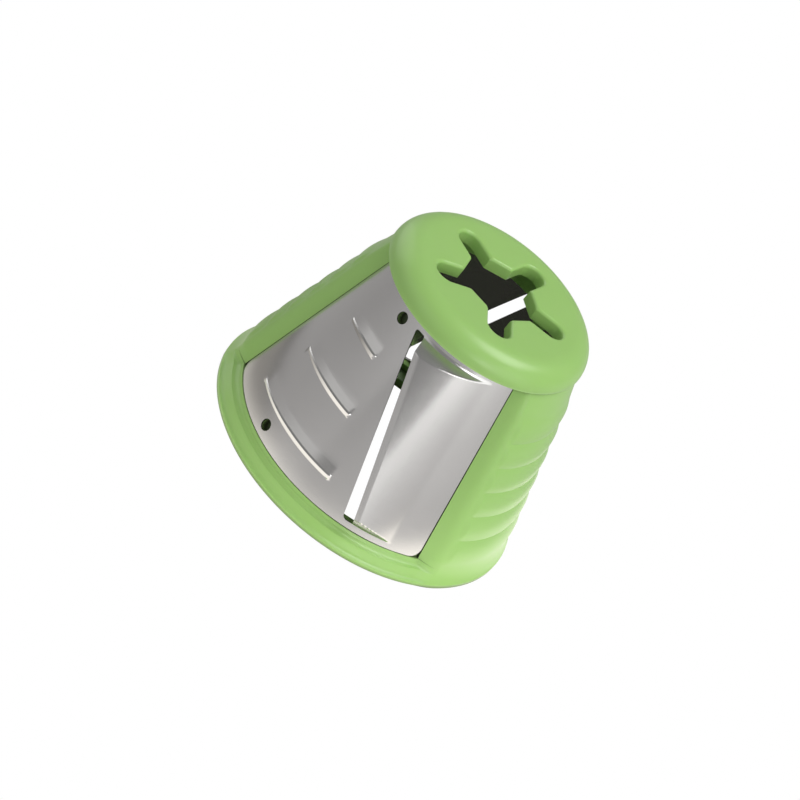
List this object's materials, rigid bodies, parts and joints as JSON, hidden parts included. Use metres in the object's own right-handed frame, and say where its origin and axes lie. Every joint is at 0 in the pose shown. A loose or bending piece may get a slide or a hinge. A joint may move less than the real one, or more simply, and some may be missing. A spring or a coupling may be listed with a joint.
{
  "type": "rotary grater slicing cone",
  "caption": "Cone-shaped slicing insert for a rotary grater: moulded frame with rippled grips, curved steel blade plates and a lobed drive socket.",
  "frame": {"origin": "centre of the rim's bottom plane, on the cone's axis", "axes": "+Z along the cone's axis towards the small end, -Y through the middle of the front blade plate, +X and -X through the grips"},
  "size_m": [0.098, 0.098, 0.07],
  "materials": {
    "moulded_plastic": "semi-gloss moulded",
    "blade_steel": "satin rolled sheet"
  },
  "bodies": {
    "root": {"cone_frame": "moulded_plastic", "drive_cap": "moulded_plastic", "blade_plate_front": "blade_steel", "blade_plate_rear": "blade_steel"}
  },
  "joints": []
}
